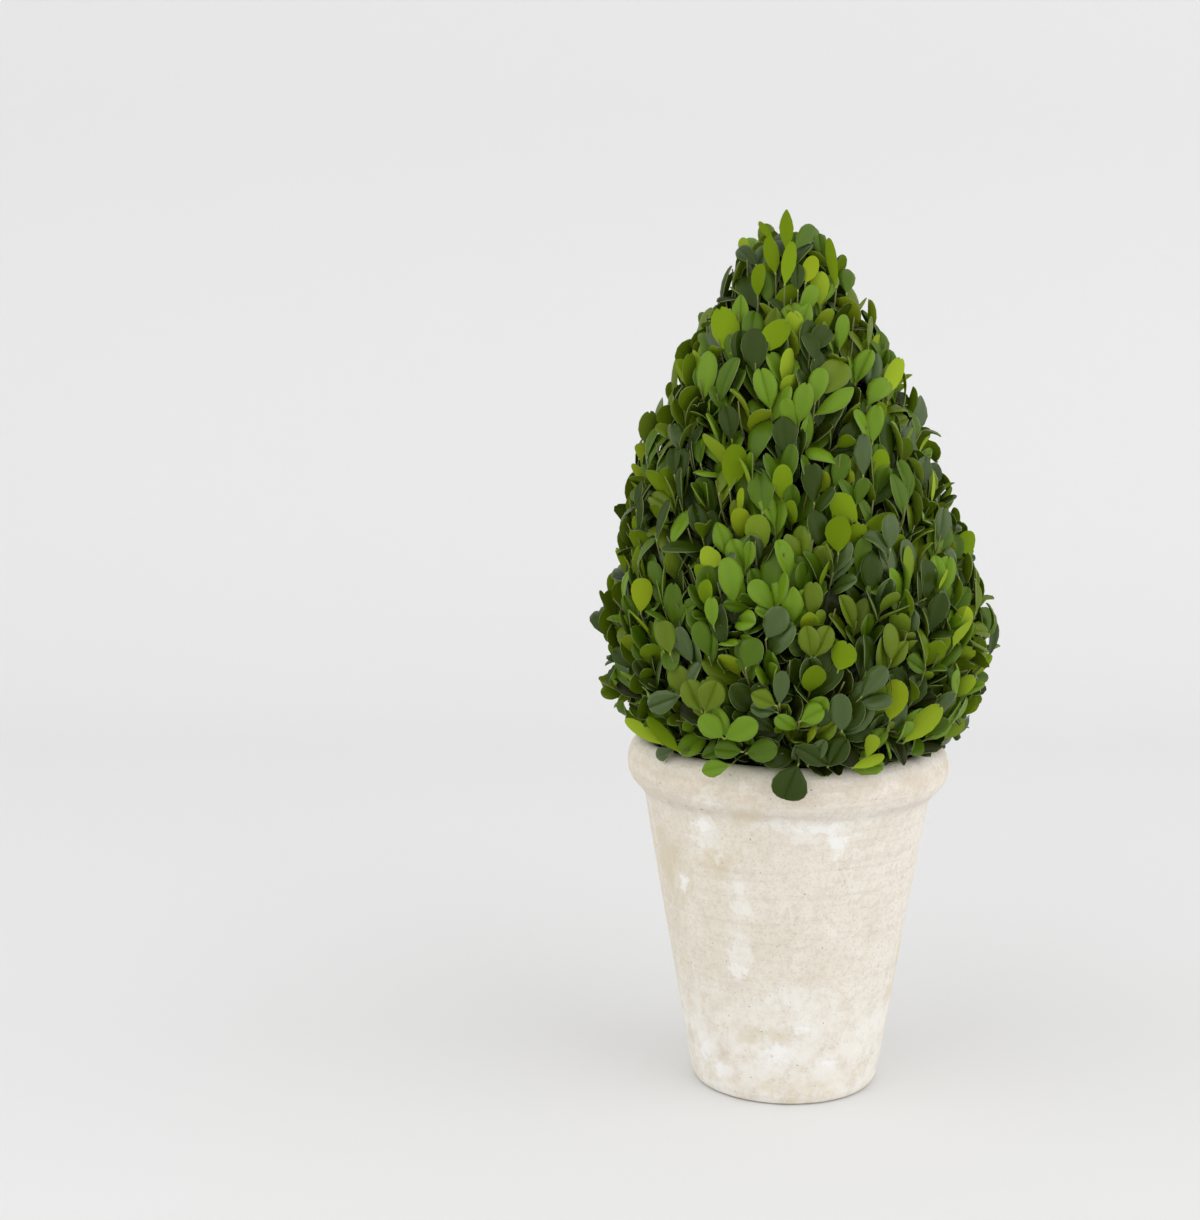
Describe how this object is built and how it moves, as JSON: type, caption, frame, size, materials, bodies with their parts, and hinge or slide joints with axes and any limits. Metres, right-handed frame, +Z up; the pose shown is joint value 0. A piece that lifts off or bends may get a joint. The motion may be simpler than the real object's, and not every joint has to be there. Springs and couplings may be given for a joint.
{
  "type": "potted cone topiary",
  "caption": "Cone-shaped topiary of leafy box sprigs on a short stem, in a tapered limewashed clay pot with a rolled rim, for a patio, table or doorway.",
  "frame": {"origin": "centre of the flat underside of the pot", "axes": "+Z up along the pot's axis, -Y towards the front of the plant, +X to its right as seen from the front"},
  "size_m": [0.2233, 0.2202, 0.4754],
  "materials": {
    "limewashed_clay": "matte fired clay with a worn chalky lime wash",
    "dry_filling": "rough, dark and dry",
    "box_bark": "fine ridged bark",
    "box_leaves": "leathery leaves, softly glossy above and matte below"
  },
  "bodies": {
    "root": {"pot": "limewashed_clay", "pot_filling": "dry_filling", "stem": "box_bark", "foliage_skirt": "box_leaves", "foliage_lower": "box_leaves", "foliage_upper": "box_leaves", "foliage_tip": "box_leaves"}
  },
  "joints": []
}
